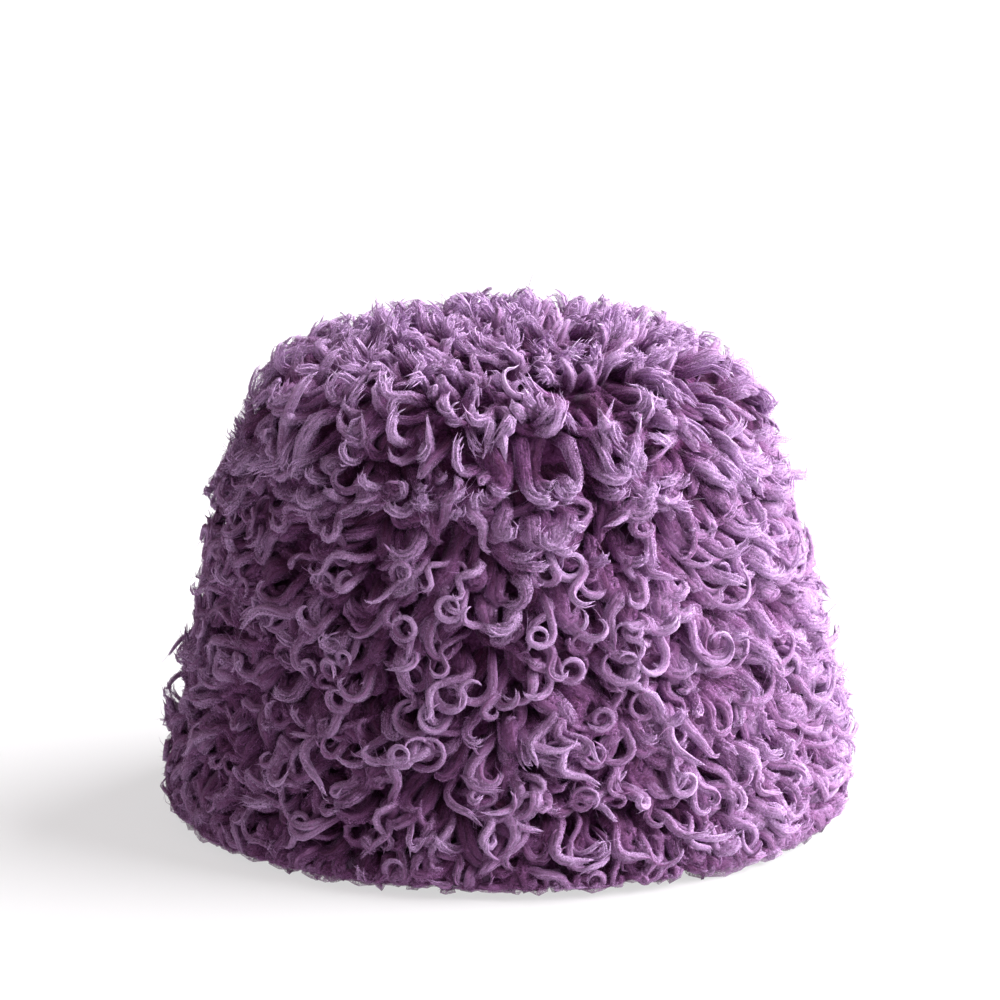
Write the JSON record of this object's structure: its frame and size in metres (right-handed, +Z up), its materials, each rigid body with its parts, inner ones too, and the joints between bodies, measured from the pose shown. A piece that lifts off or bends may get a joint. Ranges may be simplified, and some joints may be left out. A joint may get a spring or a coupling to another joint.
{
  "type": "fur bucket hat",
  "caption": "Soft bucket hat in lilac curly fur: flat crown, flared side and a steep brim with no step between them, open underneath for the head.",
  "frame": {"origin": "on the surface that the hat rests on, under the middle of the hat", "axes": "+Z up along the hat's axis, -Y towards the front, +X to the wearer's left"},
  "size_m": [0.2643, 0.2645, 0.1895],
  "materials": {
    "curly_wool": "lilac curly fleece in loose ringlets, dull, darker between the locks",
    "pelt": "napped skin side of the pelt, matt, dull purple"
  },
  "bodies": {
    "root": {"crown_tip": "pelt", "crown_side": "pelt", "brim": "pelt", "fur_crown_tip": "curly_wool", "fur_crown_side": "curly_wool", "fur_brim": "curly_wool"}
  },
  "joints": []
}
